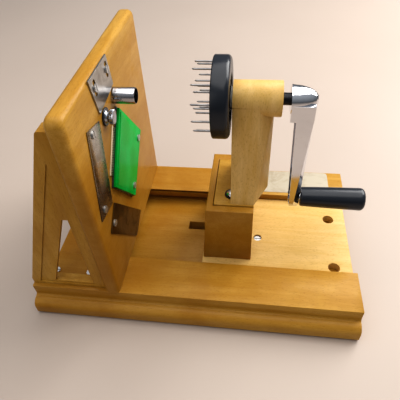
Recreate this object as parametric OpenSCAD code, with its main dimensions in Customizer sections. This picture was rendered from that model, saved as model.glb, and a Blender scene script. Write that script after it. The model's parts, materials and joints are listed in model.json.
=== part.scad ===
// Hand-cranked turning slicer with a coring tube, in varnished beech.
// +X runs from the blade panel to the crank, +Y to the far rail, +Z up.
// The origin is the middle of the underside of the base.

/* [Base] */
// Length of the base
base_len = 330; // [290:1:420]
// Width across the outer top edges of the rails
top_w = 197; // [170:1:260]
// Height of the rails
rail_h = 34.5; // [30:0.5:50]
// Width of a rail's flat top
rail_w = 44.8; // [36:0.2:60]
// Thickness of the floor between the rails
floor_t = 17.5; // [12:0.5:20]
// How far the moulding stands out past the top edge
moulding_out = 11.5; // [6:0.5:16]
// Height of the moulding's lower bead
bead_h = 20; // [14:0.5:24]
// Rounding of the bead
bead_r = 9; // [4:0.5:10]
// Radius of the cove above the bead
cove_r = 2.5; // [1:0.5:5]
// Height of the guide groove in each rail
groove_h = 6.8; // [5:0.1:9]
// Depth of the guide groove in each rail
groove_d = 6; // [4:0.5:10]

/* [Blade panel] */
// Height of the panel above the rails
panel_h = 205; // [190:1:260]
// Thickness of the panel
panel_t = 15; // [12:0.5:22]
// How far the panel's sides stand out past the rail tops
panel_over = 1.5; // [0:0.5:6]
// Distance from the base's left end to the panel's working face
panel_from_end = 93; // [85:1:120]
// Rounding of the panel's outer edges
panel_round = 5; // [2:0.5:7]

/* [Panel brackets] */
// Thickness of a bracket frame
bracket_t = 12; // [8:0.5:20]
// Thickness of the thin web inside a bracket frame
web_t = 4; // [3:0.5:6]
// How far a bracket's top stays below the panel's top
bracket_drop = 12.5; // [5:0.5:40]
// Width of the frame bars of a bracket
bracket_bar = 9.3; // [7:0.1:14]

/* [Knife and guard] */
// Turn of the knife and its guard from level
guard_turn = 43.2; // [35:0.2:50]
// Length of the guard along the cutting edge
guard_len = 71.4; // [60:0.2:76]
// Width of the guard at its upper end
guard_w = 74.2; // [64:0.2:80]
// How much narrower the guard is at its lower end
guard_taper = 9.2; // [0:0.2:12]
// Thickness of the knife
knife_t = 1.5; // [1:0.1:2]
// Thickness of the guard
guard_t = 2.5; // [2:0.1:4]
// Thickness of the stainless plates
plate_t = 1.2; // [0.8:0.1:2]
// Width of the comb, teeth and strip together
comb_w = 6.2; // [5.4:0.2:8]
// Length of the comb
comb_len = 44.5; // [36:0.5:50]

/* [Coring tube] */
// Outer diameter of the coring tube
tube_d = 14.8; // [12:0.2:18]
// Wall of the coring tube
tube_wall = 0.8; // [0.6:0.1:1.2]
// Length of the tube in front of the panel
tube_out = 20.7; // [12:0.1:26]

/* [Carriage] */
// Length of the slide board
board_len = 158; // [140:1:175]
// Thickness of the slide board
board_t = 9.4; // [8:0.2:12]
// Diameter of the two holes near the board's right end
board_hole_d = 12; // [8:0.5:16]
// Length of the block under the post
block_len = 46; // [44:1:60]
// Extra length of the block at its sloped foot
block_foot = 5; // [0:0.5:8]
// Height of the block above the board
block_h = 73.3; // [50:0.1:90]
// How far the carriage travels towards the panel
travel = 62; // [30:1:62]

/* [Spindle] */
// Height of the spindle above the rails
axis_over_rail = 165.5; // [150:0.5:190]
// Diameter of the spindle shaft
shaft_d = 10.5; // [8:0.5:14]
// Diameter of the round hub on the post
hub_d = 30.6; // [26:0.2:36]
// Length of the hub
hub_len = 41.5; // [36:0.5:56]
// Diameter of the pin disc
disc_d = 70.6; // [60:0.2:90]
// Thickness of the pin disc
disc_t = 15; // [10:0.5:20]
// Length of the pins in front of the disc
pin_len = 16.2; // [8:0.1:18]
// Diameter of a pin
pin_d = 1.6; // [1.4:0.1:3]
// Number of pins in the outer ring
outer_pins = 12; // [8:1:16]
// Number of pins in the inner ring
inner_pins = 6; // [3:1:7]

/* [Crank] */
// Distance from the spindle to the grip's axle
crank_r = 113.5; // [90:0.5:125]
// Diameter of the crank's round head
head_d = 24.6; // [22:0.2:30]
// Length of the grip
grip_len = 63.7; // [50:0.1:80]
// Diameter of the grip at its outer end
grip_d = 23; // [18:0.5:26]

/* [Fits] */
// Gap between parts that slide or turn past each other
slide_gap = 0.35; // [0.3:0.05:0.6]
// Gap on the radius between the shaft and its bushes
running_gap = 0.05; // [0.02:0.01:0.1]

/* [Hidden] */
$fn = 64;
eps = 0.01;

// base
base_left = -base_len / 2;
rail_out_y = top_w / 2;
rail_in_y = rail_out_y - rail_w;
rail_end = base_len / 2;
kerf_h = 2.6;
kerf_d = 5;
kerf_z = rail_h - 3.4;
kerf_len = 195;
floor_edge = 2;
slot_y = 12;
slot_width = 11.5;

// panel
face_x = base_left + panel_from_end;
back_x = face_x - panel_t;
panel_half = rail_out_y + panel_over;
panel_top = rail_h + panel_h;
axis_z = rail_h + axis_over_rail;

// guard frame: s runs along the cutting edge, t across it
guard_y = -5.1;
guard_below_axis = 64.3;
guard_z = axis_z - guard_below_axis;
guard_lean = 2.5;
guard_low_w = guard_w - guard_taper;
guard_edge_turn = atan(guard_taper / 2 / guard_len);
knife_lip = 1;
edge_lip = 0.6;
rib_w = 3;
rib_h = 0.8;
comb_gap = 1.2;
comb_s = 10;
strip_w = 2.2;
strip_t = 0.8;
tooth_pitch = 1.5;
tooth_t = 0.7;
tooth_out = 1.6;
throat_w = comb_w - strip_w;
throat_len = comb_len - 2.5;
chute_w = 24;
chute_deep = 9;

// knob of the comb clamp
knob_y = -28.5;
knob_drop = 3.7;
knob_z = axis_z - knob_drop;
knob_r = 6.4;
knob_len = 8.5;
knob_foot_r = 8;
knob_foot_t = 1.5;

// small screws
screw_r = 1.7;
screw_head_r = 3.4;
screw_head_h = 1.4;
screw_deep = 9;
screw_gap = 0.02;
slot_w = 1;
slot_deep = 0.7;

// slide board, from the base's right end leftwards
board_end_gap = 2;
board_x1 = rail_end - board_end_gap;
board_x0 = board_x1 - board_len;
board_bottom = floor_t + 0.3;
board_top = board_bottom + board_t;
board_half = rail_in_y - slide_gap;
tongue_h = groove_h - 2 * slide_gap;
tongue_out = groove_d - slide_gap;
board_hole_r = board_hole_d / 2;
board_hole_x = board_x1 - 18.8;
board_hole_y = [-43.7, 24.6];

// stop key under the board, held by one sunk screw
key_w = 8;
key_drop = 12;
key_plate_t = 3;
key_plate_len = 16;
key_plate_y0 = -15;
key_screw_y = -9.2;
key_screw_r = 2;
key_bore_r = 4.5;
key_bore_deep = 4;
key_head_r = 3.8;
key_head_h = 2.4;

// block
block_x1 = 57;
block_x0 = block_x1 - block_len;
block_y0 = -41;
block_y1 = 47;
block_bottom_x = block_x0 - block_foot;
block_top = board_top + block_h;
rebate_deep = 8;
rebate_rim = 6.4;
rebate_near = 8;
rebate_far = 9;
plate_gap = 0.6;
plate_proud = 0.8;
plate_top = block_top + plate_proud;
key_x = block_x1 + 6.8;
// the slot lets the key run the whole travel, with a little to spare
slot_spare = 11.8;
slot_x0 = key_x - key_plate_len / 2 - travel - slot_spare;

// post and hub
post_x0 = 34.5;
post_near_w = block_x1 - post_x0;
prow = 13;
post_foot_half = 31.2;
ridge_half = 3;
hub_r = hub_d / 2;
hub_x0 = post_x0;
hub_x1 = hub_x0 + hub_len;
bush_wall = 2.5;
bush_len = 12;
shaft_r = shaft_d / 2;
bush_bore_r = shaft_r + running_gap;
bush_r = bush_bore_r + bush_wall;
post_bolt_y = -17.5;
post_bolt_x = post_x0 + 0.6;
bolt_r = 2.5;
bolt_head_r = 5.5;
bolt_head_h = 3.6;
bolt_washer_r = 7;
bolt_washer_t = 1.2;
bolt_deep = 26;

// disc and pins
disc_gap = 2;
washer_t = disc_gap - slide_gap;
disc_x1 = hub_x0 - disc_gap;
disc_x0 = disc_x1 - disc_t;
disc_r = disc_d / 2;
disc_skin = 3;
outer_pin_r = 0.84 * disc_r;
inner_pin_r = 0.394 * disc_r;
outer_pin_turn = 11;
inner_pin_turn = 12.5;
pin_root = 8;
pin_point = 1.4;

// crank
head_r = head_d / 2;
head_gap = 7;
head_x0 = hub_x1 + head_gap;
head_len = 23.5;
arm_wall = 2;
arm_back = 5.8;
arm_root_len = 15.5;
arm_end_r = 10.5;
arm_x0_root = 0.5;
arm_x0_top = 5.8;
arm_x0_end = 10;
arm_x1_top = 20.3;
arm_x1_end = 19.8;
arm_z1 = axis_z - 16;
hollow_z1 = axis_z - 15;
// how far a cutting outline runs past the faces it cuts
past_face = 5;
arm_far = 30;
arm_half_w = 20;
arm_z2 = axis_z - 29;
axle_boss_r = 5;
head_seat = 17;
crank_screw_r = 2.1;
crank_screw_in = 6;
crank_screw_head_r = 3.4;
crank_screw_head_h = 2.2;
axle_z = axis_z - crank_r;
shaft_x0 = disc_x0 + disc_skin;
shaft_x1 = head_x0 + 13;
grip_x0 = head_x0 + arm_x1_end + 1;
grip_x1 = grip_x0 + grip_len;
grip_small_r = grip_d / 2 - 1.6;
grip_round = 5;
axle_r = 3;
axle_head_r = 5;
axle_in = 46;

// ---- helpers ----

// runs a Y-Z outline along X, from x0 to x1
module along_x(x0, x1) {
    translate([x0, 0, 0]) rotate([90, 0, 90]) linear_extrude(x1 - x0) children();
}

// runs an X-Z outline along Y, from y0 to y1
module along_y(y0, y1) {
    translate([0, y1, 0]) rotate([90, 0, 0]) linear_extrude(y1 - y0) children();
}

// a round bar along X
module bar_x(x0, x1, r) {
    translate([x0, 0, 0]) rotate([0, 90, 0]) cylinder(h = x1 - x0, r = r);
}

// a round bar on the spindle axis
module on_axis(x0, x1, r) {
    translate([0, 0, axis_z]) bar_x(x0, x1, r);
}

function arc_points(c, r, from, to, steps = 8) =
    [for (i = [0:steps]) let (a = from + (to - from) * i / steps) c + r * [cos(a), sin(a)]];

// moves a Y-Z outline into the guard's own frame
module guard_frame() {
    translate([guard_y, guard_z]) rotate(guard_turn) children();
}

// moves an outline to the guard's cutting side: u along the edge, v away from it
module edge_frame() {
    guard_frame() translate([-guard_len / 2 + guard_lean, guard_low_w / 2])
        rotate(guard_edge_turn) children();
}

// the guard's four corners, grown by a lip on three sides and by another at the edge
module guard_outline(lip = 0, edge = 0) {
    half = guard_len / 2 + lip;
    polygon([[-half + guard_lean, guard_low_w / 2 + edge], [half + guard_lean, guard_w / 2 + edge],
        [half - guard_lean, -guard_w / 2 - lip], [-half - guard_lean, -guard_low_w / 2 - lip]]);
}

function guard_point(s, t) = [
    guard_y + s * cos(guard_turn) - t * sin(guard_turn),
    guard_z + s * sin(guard_turn) + t * cos(guard_turn)];

// the places of the small screws on the panel's face, as [y, z]
top_screws = [[-5.6, axis_z + 27.8], [-36.2, axis_z + 27.8]];
side_screws = [[-61.5, axis_z + 1.5], [-78.3, axis_z - 65]];
lower_screws = [[-68.5, axis_z - 93.6]];
plate_screw_places = concat(top_screws, side_screws, lower_screws);
guard_screw_places = [guard_point(23.3, -28.4), guard_point(-27.5, -24.8)];

// a small screw standing on a face at x
module small_screw(x) {
    bar_x(x - screw_deep, x, screw_r);
    difference() {
        bar_x(x, x + screw_head_h, screw_head_r);
        translate([x + screw_head_h - slot_deep, -slot_w / 2, -screw_head_r - 1])
            cube([2, slot_w, 2 * screw_head_r + 2]);
    }
}

module screw_holes(places, x0, x1) {
    for (p = places) translate([0, p[0], p[1]]) bar_x(x0, x1, screw_r + screw_gap);
}

// ---- base ----

// a rail's section: u runs outwards from the channel, v up
module rail_section() {
    bead_out = rail_w + moulding_out;
    foot_r = 4;
    difference() {
        union() {
            square([rail_w, rail_h]);
            square([bead_out, bead_h - bead_r]);
            square([bead_out - bead_r, bead_h]);
            translate([bead_out - bead_r, bead_h - bead_r]) circle(bead_r);
            difference() {
                translate([rail_w - eps, bead_h - eps]) square([cove_r, cove_r]);
                translate([rail_w + cove_r, bead_h + cove_r]) circle(cove_r);
            }
        }
        translate([-1, floor_t]) square([groove_d + 1, groove_h]);
        difference() {
            translate([bead_out - foot_r, -eps]) square([foot_r + 1, foot_r]);
            translate([bead_out - foot_r, foot_r]) circle(foot_r);
        }
    }
}

// screws through the rail tops, and those that come up from below into the panel
rail_screw_x = [base_left + 19, base_left + 55];
rail_screw_y = rail_out_y - 21;
panel_screw_y = [rail_in_y + 12, rail_out_y - 12];
panel_screw_x = (face_x + back_x) / 2;
panel_screw_r = 2.2;
panel_screw_head_r = 4.6;
panel_screw_head_z = 8;
panel_screw_up = 28;
sunk_head_h = 3;

module far_rail_solid() {
    difference() {
        translate([0, rail_in_y, 0]) along_x(base_left, rail_end) rail_section();
        translate([base_left - 1, rail_in_y - 1, kerf_z]) cube([kerf_len + 1, kerf_d + 1, kerf_h]);
        for (x = rail_screw_x) translate([x, rail_screw_y, rail_h - screw_deep])
            cylinder(h = screw_deep + 1, r = screw_r + screw_gap);
        for (y = panel_screw_y) translate([panel_screw_x, y, 0]) {
            translate([0, 0, -1]) cylinder(h = rail_h + 2, r = panel_screw_r + screw_gap);
            translate([0, 0, -1]) cylinder(h = panel_screw_head_z + 1, r = panel_screw_head_r + 0.3);
        }
    }
}

module far_rail() {
    color("burlywood") far_rail_solid();
}

module near_rail() {
    color("burlywood") mirror([0, 1, 0]) far_rail_solid();
}

module base_floor() {
    slot_x1 = key_x + key_plate_len / 2 + 4;
    color("tan") difference() {
        translate([base_left + floor_edge, -rail_in_y, 0])
            cube([base_len - 2 * floor_edge, 2 * rail_in_y, floor_t]);
        translate([slot_x0, slot_y - slot_width / 2, -1])
            cube([slot_x1 - slot_x0, slot_width, floor_t + 2]);
    }
}

module rail_screws() {
    color("dimgray") for (side = [0, 1]) mirror([0, side, 0]) for (x = rail_screw_x)
        translate([x, rail_screw_y, rail_h]) rotate([0, -90, 0]) small_screw(0);
}

module panel_screws() {
    color("gray") for (side = [0, 1]) mirror([0, side, 0]) for (y = panel_screw_y)
        translate([panel_screw_x, y, 0]) {
            translate([0, 0, panel_screw_head_z]) cylinder(h = rail_h + panel_screw_up
                - panel_screw_head_z, r = panel_screw_r);
            translate([0, 0, panel_screw_head_z - sunk_head_h])
                cylinder(h = sunk_head_h, r = panel_screw_head_r);
        }
}

// a blank sticker on the far rail's top
module maker_label() {
    label_t = 0.3;
    label_x0 = 36;
    label_x1 = 148;
    label_y0 = rail_in_y + 5;
    label_y1 = rail_out_y - 1;
    corner = 4;
    color("ivory") translate([0, 0, rail_h]) linear_extrude(label_t) polygon(concat(
        [[label_x0, label_y0]],
        arc_points([label_x1 - corner, label_y0 + corner], corner, -90, 0),
        arc_points([label_x1 - corner, label_y1 - corner], corner, 0, 90),
        [[label_x0, label_y1]]));
}

// ---- blade panel ----

// panel outline seen from the crank: two rounded top corners
module panel_outline() {
    corner = 8;
    polygon(concat([[-panel_half, rail_h], [panel_half, rail_h]],
        arc_points([panel_half - corner, panel_top - corner], corner, 0, 90),
        arc_points([-panel_half + corner, panel_top - corner], corner, 90, 180)));
}

// panel outline seen from the side: both top edges rounded
module panel_side_outline() {
    r = panel_round;
    polygon(concat([[back_x, rail_h], [face_x, rail_h]],
        arc_points([face_x - r, panel_top - r], r, 0, 90),
        arc_points([back_x + r, panel_top - r], r, 90, 180)));
}

// panel outline seen from above: all four corners rounded
module panel_plan_outline() {
    r = panel_round;
    polygon(concat(
        arc_points([face_x - r, -panel_half + r], r, -90, 0),
        arc_points([face_x - r, panel_half - r], r, 0, 90),
        arc_points([back_x + r, panel_half - r], r, 90, 180),
        arc_points([back_x + r, -panel_half + r], r, 180, 270)));
}

// where the slices pass through the panel, beside the cutting edge
module throat_outline(w) {
    edge_frame() translate([comb_s + (comb_len - throat_len) / 2, comb_gap])
        square([throat_len, w]);
}

module blade_panel() {
    color("burlywood") difference() {
        intersection() {
            along_x(back_x, face_x) panel_outline();
            along_y(-panel_half, panel_half) panel_side_outline();
            translate([0, 0, rail_h]) linear_extrude(panel_h) panel_plan_outline();
        }
        along_x(back_x - 1, face_x + 1) throat_outline(throat_w);
        along_x(back_x - 1, back_x + chute_deep) throat_outline(chute_w);
        on_axis(back_x - 1, face_x + 1, tube_d / 2);
        screw_holes(concat(plate_screw_places, guard_screw_places), face_x - screw_deep, face_x + 1);
        translate([0, knob_y, knob_z]) bar_x(face_x - screw_deep, face_x + 1, screw_r + screw_gap);
        for (side = [-1, 1]) for (y = panel_screw_y)
            translate([panel_screw_x, side * y, rail_h - 1])
                cylinder(h = panel_screw_up + 1, r = panel_screw_r + screw_gap);
    }
}

// ---- brackets behind the panel ----

bracket_x0 = base_left + 0.5;
bracket_top = panel_top - bracket_drop;
bracket_foot_h = 7.5;
bracket_corner = 3;
bracket_top_len = 10.5;
bracket_in = 4;
bracket_top_x = back_x - bracket_top_len;
bracket_lean = (bracket_top_x - bracket_x0) / (bracket_top - bracket_corner - rail_h - bracket_foot_h);
bracket_y0 = rail_out_y - bracket_in - bracket_t;
recess_z0 = rail_h + 3.7;
recess_x1 = back_x - bracket_bar - 1.2;
recess_x0 = bracket_x0 + bracket_bar + bracket_lean * (recess_z0 - rail_h - bracket_foot_h);
recess_top = recess_z0 + (recess_x1 - recess_x0) / bracket_lean;
web_in = 1;
window_z0 = recess_z0 + 2.5;
window_h = 94;
window_x1 = recess_x1 - 2.2;
window_top_len = 5.5;
window_x0 = window_x1 - window_top_len - bracket_lean * window_h;

module bracket_outline() {
    polygon(concat([[back_x, rail_h], [back_x, bracket_top]],
        arc_points([bracket_top_x + bracket_corner, bracket_top - bracket_corner],
            bracket_corner, 90, 180 - atan(bracket_lean)),
        [[bracket_x0, rail_h + bracket_foot_h], [bracket_x0, rail_h]]));
}

module recess_outline() {
    polygon([[recess_x0, recess_z0], [recess_x1, recess_z0], [recess_x1, recess_top]]);
}

module far_bracket_frame_solid() {
    along_y(bracket_y0, bracket_y0 + bracket_t) difference() {
        bracket_outline();
        recess_outline();
    }
}

module far_bracket_web_solid() {
    web_y1 = bracket_y0 + bracket_t - web_in;
    along_y(web_y1 - web_t, web_y1) difference() {
        recess_outline();
        polygon([[window_x0, window_z0], [window_x1, window_z0],
            [window_x1, window_z0 + window_h], [window_x1 - window_top_len, window_z0 + window_h]]);
    }
}

module far_bracket_frame() { color("peru") far_bracket_frame_solid(); }
module far_bracket_web() { color("tan") far_bracket_web_solid(); }
module near_bracket_frame() { color("peru") mirror([0, 1, 0]) far_bracket_frame_solid(); }
module near_bracket_web() { color("tan") mirror([0, 1, 0]) far_bracket_web_solid(); }

// ---- plates, knife, guard and comb ----

module top_plate() {
    slot_len = 8.6;
    slot_r = 2.7;
    color("silver") difference() {
        along_x(face_x, face_x + plate_t) translate([0, axis_z]) polygon([[-46, 38.3],
            [-0.5, 38.4], [2.8, 10], [-8, 8.6], [-38.8, 5.5]]);
        for (p = top_screws) translate([0, p[0], p[1] - slot_len / 2]) {
            bar_x(face_x - 1, face_x + plate_t + 1, slot_r);
            translate([0, 0, slot_len]) bar_x(face_x - 1, face_x + plate_t + 1, slot_r);
            translate([face_x - 1, -slot_r, 0]) cube([plate_t + 2, 2 * slot_r, slot_len]);
        }
    }
}

module side_plate() {
    color("silver") difference() {
        along_x(face_x, face_x + plate_t) translate([0, axis_z]) polygon([[-88.7, -69.9],
            [-60.7, -75], [-43.9, 2.7], [-69.6, 9.4]]);
        screw_holes(side_screws, face_x - 1, face_x + plate_t + 1);
    }
}

module lower_plate() {
    color("gray") difference() {
        along_x(face_x, face_x + plate_t) translate([0, axis_z]) polygon([[-79.7, -95.9],
            [-24.8, -163.3], [2.2, -150.2], [-56.9, -78.3]]);
        screw_holes(lower_screws, face_x - 1, face_x + plate_t + 1);
    }
}

module plate_screws() {
    color("silver") for (p = plate_screw_places) translate([0, p[0], p[1]])
        small_screw(face_x + plate_t);
}

module slicing_knife() {
    color("dimgray") difference() {
        along_x(face_x, face_x + knife_t) guard_frame() guard_outline(knife_lip, edge_lip);
        screw_holes(guard_screw_places, face_x - 1, face_x + knife_t + 1);
    }
}

module knife_guard() {
    x0 = face_x + knife_t;
    color("limegreen") difference() {
        union() {
            along_x(x0, x0 + guard_t) guard_frame() guard_outline();
            along_x(x0, x0 + guard_t + rib_h) edge_frame() translate([rib_w, -2 * rib_w])
                square([guard_len - 2 * rib_w, rib_w]);
        }
        screw_holes(guard_screw_places, x0 - 1, x0 + guard_t + 1);
    }
}

module guard_screws() {
    x = face_x + knife_t + guard_t;
    reach = knife_t + guard_t;
    color("silver") for (p = guard_screw_places) translate([0, p[0], p[1]]) {
        small_screw(x);
        bar_x(x - screw_deep - reach + 1, x - screw_deep, screw_r);
    }
}

module comb_frame() {
    edge_frame() translate([comb_s, comb_gap]) children();
}

module comb_holder() {
    color("wheat") along_x(face_x, face_x + strip_t) comb_frame()
        translate([0, comb_w - strip_w]) square([comb_len, strip_w]);
}

module comb_blades() {
    count = floor(comb_len / tooth_pitch);
    color("dimgray") along_x(face_x, face_x + tooth_out) comb_frame()
        for (i = [0:count - 1]) translate([(i + 0.5) * tooth_pitch - tooth_t / 2, 0])
            square([tooth_t, comb_w - strip_w]);
}

module comb_knob_foot() {
    color("black") difference() {
        translate([0, knob_y, knob_z]) bar_x(face_x, face_x + knob_foot_t, knob_foot_r);
        translate([0, knob_y, knob_z]) bar_x(face_x - 1, face_x + knob_foot_t + 1,
            screw_r + screw_gap);
    }
}

module comb_knob() {
    x = face_x + knob_foot_t;
    color("silver") translate([0, knob_y, knob_z]) {
        bar_x(face_x - screw_deep, x, screw_r);
        bar_x(x, face_x + knob_len, knob_r);
    }
}

module coring_tube() {
    x0 = back_x - 6;
    color("silver") difference() {
        on_axis(x0, face_x + tube_out, tube_d / 2);
        on_axis(x0 - 1, face_x + tube_out + 1, tube_d / 2 - tube_wall);
    }
}

// ---- carriage ----

module slide_board() {
    tongue_z0 = board_bottom;
    color("moccasin") difference() {
        union() {
            translate([board_x0, -board_half, board_bottom])
                cube([board_len, 2 * board_half, board_t]);
            translate([board_x0, -rail_in_y - tongue_out, tongue_z0])
                cube([board_len, 2 * (rail_in_y + tongue_out), tongue_h]);
        }
        for (y = board_hole_y) translate([board_hole_x, y, board_bottom - 1])
            cylinder(h = board_t + 2, r = board_hole_r);
        translate([key_x, key_screw_y, board_bottom - 1])
            cylinder(h = board_t + 2, r = key_screw_r + screw_gap);
        translate([key_x, key_screw_y, board_top - key_bore_deep])
            cylinder(h = key_bore_deep + 1, r = key_bore_r);
        translate([key_x - key_plate_len / 2, key_plate_y0, board_bottom - 1])
            cube([key_plate_len, slot_y + key_w / 2 - key_plate_y0, key_plate_t + 1]);
    }
}

// a plate let into the board's underside, with a tongue down into the floor's slot
module stop_key() {
    tongue_y0 = slot_y - key_w / 2;
    color("peru") difference() {
        union() {
            translate([key_x - key_plate_len / 2, key_plate_y0, board_bottom])
                cube([key_plate_len, tongue_y0 + key_w - key_plate_y0, key_plate_t]);
            translate([key_x - key_plate_len / 2, tongue_y0, board_bottom - key_drop])
                cube([key_plate_len, key_w, key_drop + key_plate_t]);
        }
        translate([key_x, key_screw_y, board_bottom - 1])
            cylinder(h = key_plate_t + 2, r = key_screw_r + screw_gap);
    }
}

module key_screw() {
    z0 = board_top - key_bore_deep;
    color("silver") difference() {
        union() {
            translate([key_x, key_screw_y, board_bottom])
                cylinder(h = z0 - board_bottom, r = key_screw_r);
            translate([key_x, key_screw_y, z0]) cylinder(h = key_head_h, r = key_head_r);
        }
        translate([key_x - key_head_r - 1, key_screw_y - slot_w / 2, z0 + key_head_h - slot_deep])
            cube([2 * key_head_r + 2, slot_w, slot_deep + 1]);
    }
}

module carriage_block() {
    color("peru") difference() {
        along_y(block_y0, block_y1) polygon([[block_bottom_x, board_top], [block_x1, board_top],
            [block_x1, block_top], [block_x0, block_top]]);
        translate([block_x0 + rebate_rim, block_y0 + rebate_near, block_top - rebate_deep])
            cube([block_len, block_y1 - block_y0 - rebate_near - rebate_far, rebate_deep + 1]);
        translate([post_bolt_x, post_bolt_y, plate_top - bolt_deep])
            cylinder(h = bolt_deep, r = bolt_r + screw_gap);
    }
}

module post_plate() {
    y0 = block_y0 + rebate_near + plate_gap;
    y1 = block_y1 - rebate_far - plate_gap;
    x0 = block_x0 + rebate_rim + plate_gap;
    color("burlywood") difference() {
        translate([x0, y0, block_top - rebate_deep])
            cube([block_x1 - x0, y1 - y0, rebate_deep + plate_proud]);
        translate([post_bolt_x, post_bolt_y, block_top - rebate_deep - 1])
            cylinder(h = rebate_deep + plate_proud + 2, r = bolt_r + screw_gap);
    }
}

// the post leans in from a wide foot to the hub, with a prow on the crank side
module post_body() {
    neck_half = 0.98 * hub_r;
    ridge_top = axis_z - 5;
    hull() {
        along_x(post_x0, post_x0 + post_near_w) polygon([[-post_foot_half, plate_top],
            [post_foot_half, plate_top], [neck_half, axis_z], [-neck_half, axis_z]]);
        along_x(post_x0, post_x0 + post_near_w + prow) polygon([[-ridge_half, plate_top],
            [ridge_half, plate_top], [ridge_half, ridge_top], [-ridge_half, ridge_top]]);
    }
}

module spindle_post() {
    color("burlywood") difference() {
        union() {
            post_body();
            on_axis(hub_x0, hub_x1, hub_r);
        }
        on_axis(hub_x0 - 1, hub_x1 + 1, shaft_r + 0.6);
        on_axis(hub_x0 - 1, hub_x0 + bush_len, bush_r);
        on_axis(hub_x1 - bush_len, hub_x1 + 1, bush_r);
        translate([post_bolt_x, post_bolt_y, plate_top - 1])
            cylinder(h = bolt_washer_t + bolt_head_h + 1.5, r = bolt_washer_r + 0.3);
    }
}

module post_bolt() {
    dome_r = 7;
    color("silver") translate([post_bolt_x, post_bolt_y, plate_top]) {
        translate([0, 0, bolt_washer_t - bolt_deep]) cylinder(h = bolt_deep, r = bolt_r);
        translate([0, 0, bolt_washer_t]) intersection() {
            cylinder(h = bolt_head_h, r = bolt_head_r);
            translate([0, 0, bolt_head_h - dome_r]) sphere(r = dome_r);
        }
    }
}

module post_bolt_washer() {
    color("gray") translate([post_bolt_x, post_bolt_y, plate_top]) difference() {
        cylinder(h = bolt_washer_t, r = bolt_washer_r);
        translate([0, 0, -1]) cylinder(h = bolt_washer_t + 2, r = bolt_r + screw_gap);
    }
}

module spindle_bushes() {
    color("darkgoldenrod") for (x = [hub_x0, hub_x1 - bush_len]) difference() {
        on_axis(x, x + bush_len, bush_r);
        on_axis(x - 1, x + bush_len + 1, bush_bore_r);
    }
}

// ---- spindle ----

module spindle_shaft() {
    color("black") difference() {
        on_axis(shaft_x0, shaft_x1, shaft_r);
        on_axis(shaft_x1 - crank_screw_in - 1, shaft_x1 + 1, crank_screw_r + screw_gap);
    }
}

module pin_disc() {
    edge_r = 4;
    places = pin_places();
    color([0.06, 0.09, 0.12]) difference() {
        translate([0, 0, axis_z]) rotate([0, 90, 0]) rotate_extrude() {
            translate([0, disc_x0]) square([disc_r, disc_t - edge_r]);
            translate([0, disc_x0]) square([disc_r - edge_r, disc_t]);
            translate([disc_r - edge_r, disc_x1 - edge_r]) circle(edge_r);
        }
        on_axis(shaft_x0, disc_x1 + 1, shaft_r + screw_gap);
        for (p = places) translate([0, p[0], axis_z + p[1]])
            bar_x(disc_x0 - 1, disc_x0 + pin_root, pin_d / 2 + screw_gap);
    }
}

function pin_places() = concat(
    [for (i = [0:outer_pins - 1]) let (a = 360 / outer_pins * i + outer_pin_turn)
        outer_pin_r * [cos(a), sin(a)]],
    [for (i = [0:inner_pins - 1]) let (a = 360 / inner_pins * i + inner_pin_turn)
        inner_pin_r * [cos(a), sin(a)]]);

module holding_pins() {
    color("silver") for (p = pin_places()) translate([0, p[0], axis_z + p[1]]) {
        bar_x(disc_x0 - pin_len + pin_point, disc_x0 + pin_root, pin_d / 2);
        translate([disc_x0 - pin_len + pin_point, 0, 0]) rotate([0, -90, 0])
            cylinder(h = pin_point, r1 = pin_d / 2, r2 = pin_d / 5);
    }
}

module disc_washer() {
    color("white") difference() {
        on_axis(disc_x1, disc_x1 + washer_t, shaft_r + 4);
        on_axis(disc_x1 - 1, disc_x1 + washer_t + 1, shaft_r + screw_gap);
    }
}

// the arm's outline seen from the crank side; inset shrinks it for the hollow
module arm_face(inset) {
    root_half = head_r - inset;
    end_r = arm_end_r - inset;
    translate([0, axis_z]) circle(root_half);
    translate([0, axle_z]) circle(end_r);
    polygon([[-root_half, axis_z], [root_half, axis_z], [end_r, axle_z], [-end_r, axle_z]]);
}

// the arm's outline seen from the side, and that of its hollow
module arm_side() {
    z_end = axle_z - arm_end_r;
    translate([head_x0, 0]) polygon([[arm_x0_root, axis_z], [arm_x0_root, axis_z - arm_root_len],
        [arm_x0_top, axis_z - arm_root_len], [arm_x0_end, z_end], [arm_x1_end, z_end],
        [arm_x1_end, arm_z2], [arm_x1_top, arm_z1], [arm_x1_top, axis_z]]);
}

module hollow_side() {
    z_end = axle_z - arm_end_r;
    hollow_len = hollow_z1 - z_end;
    translate([head_x0 - past_face, z_end]) square([arm_x1_end - arm_back + past_face, hollow_len]);
}

// the round head: a curve turned about the spindle, from its radius to its nose
module crank_head() {
    curve = [[1, 0.03], [0.985, 0.1], [0.94, 0.34], [0.87, 0.5], [0.8, 0.62], [0.69, 0.75],
        [0.54, 0.865], [0.36, 0.945], [0.18, 0.988], [0, 1]];
    translate([head_x0, 0, axis_z]) rotate([0, 90, 0]) rotate_extrude() polygon(concat(
        [[0, 0], [head_r, 0]], [for (c = curve) [c[0] * head_r, c[1] * head_len]]));
}

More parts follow.
